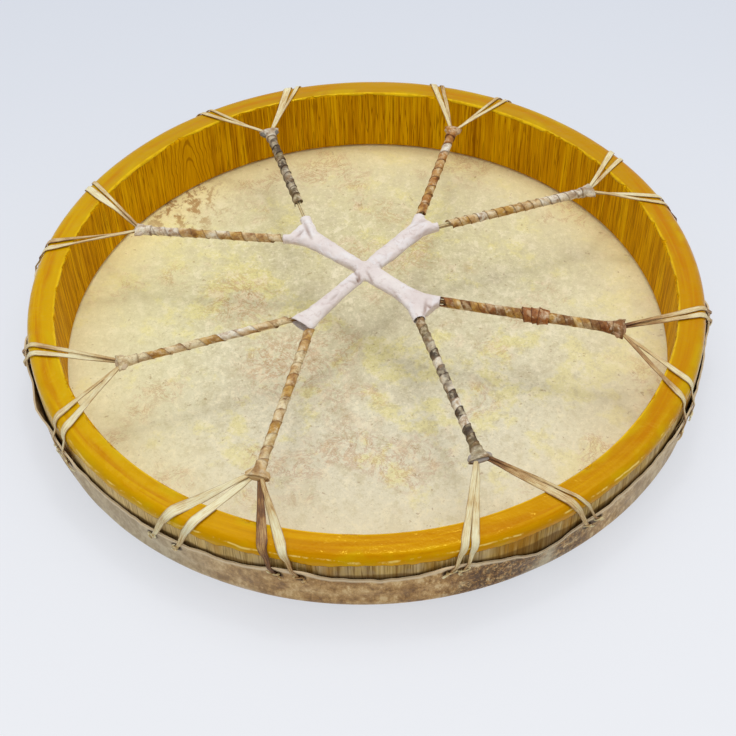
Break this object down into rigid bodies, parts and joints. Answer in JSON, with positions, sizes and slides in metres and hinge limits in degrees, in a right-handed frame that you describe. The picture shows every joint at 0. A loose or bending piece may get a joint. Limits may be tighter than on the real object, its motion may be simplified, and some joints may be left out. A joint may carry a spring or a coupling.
{
  "type": "frame drum",
  "caption": "Round frame drum with a rawhide head folded up a bent wooden hoop, laced over the rim to a white leather cross grip.",
  "frame": {"origin": "centre of the drum on the underside of the head, which is the face the drum lies on", "axes": "+Z from the head towards the open back of the hoop, -Y towards the viewer of the picture"},
  "size_m": [0.5091, 0.5047, 0.0655],
  "materials": {
    "hoop_wood": "bent wood, glossy yellow ochre paint on the rim, bare brown walls",
    "head_rawhide": "taut natural rawhide, mottled cream, pinkish brown on the folded edge",
    "lace_rawhide": "dried rawhide strip, translucent cream with darker edges",
    "wrap_1_strip": "narrow strip of worn hide wound round the laces",
    "wrap_2_strip": "narrow strip of worn hide wound round the laces",
    "wrap_3_strip": "narrow strip of worn hide wound round the laces",
    "wrap_4_strip": "narrow strip of worn hide wound round the laces",
    "wrap_5_strip": "narrow strip of worn hide wound round the laces",
    "wrap_6_strip": "narrow strip of worn hide wound round the laces",
    "wrap_7_strip": "narrow strip of worn hide wound round the laces",
    "wrap_8_strip": "narrow strip of worn hide wound round the laces",
    "tie_leather": "thick red-brown tie, matt",
    "grip_leather": "soft white leather, matt, wrinkled",
    "knot_rawhide": "dried rawhide"
  },
  "bodies": {
    "root": {"hoop": "hoop_wood", "drum_head": "head_rawhide", "lace_1a": "lace_rawhide", "lace_1b": "lace_rawhide", "lace_2a": "lace_rawhide", "lace_2b": "lace_rawhide", "lace_3a": "lace_rawhide", "lace_3b": "lace_rawhide", "lace_4a": "lace_rawhide", "lace_4b": "lace_rawhide", "lace_5a": "lace_rawhide", "lace_5b": "lace_rawhide", "lace_6a": "lace_rawhide", "lace_6b": "lace_rawhide", "lace_7a": "lace_rawhide", "lace_7b": "lace_rawhide", "lace_8a": "lace_rawhide", "lace_8b": "lace_rawhide", "wrap_1": "wrap_1_strip", "wrap_2": "wrap_2_strip", "wrap_3": "wrap_3_strip", "wrap_4": "wrap_4_strip", "wrap_5": "wrap_5_strip", "wrap_6": "wrap_6_strip", "wrap_7": "wrap_7_strip", "wrap_8": "wrap_8_strip", "tie_8": "tie_leather", "grip_sleeve_1": "grip_leather", "grip_sleeve_2": "grip_leather", "grip_sleeve_3": "grip_leather", "grip_sleeve_4": "grip_leather", "grip_crossing": "grip_leather", "centre_knot": "knot_rawhide"}
  },
  "joints": []
}
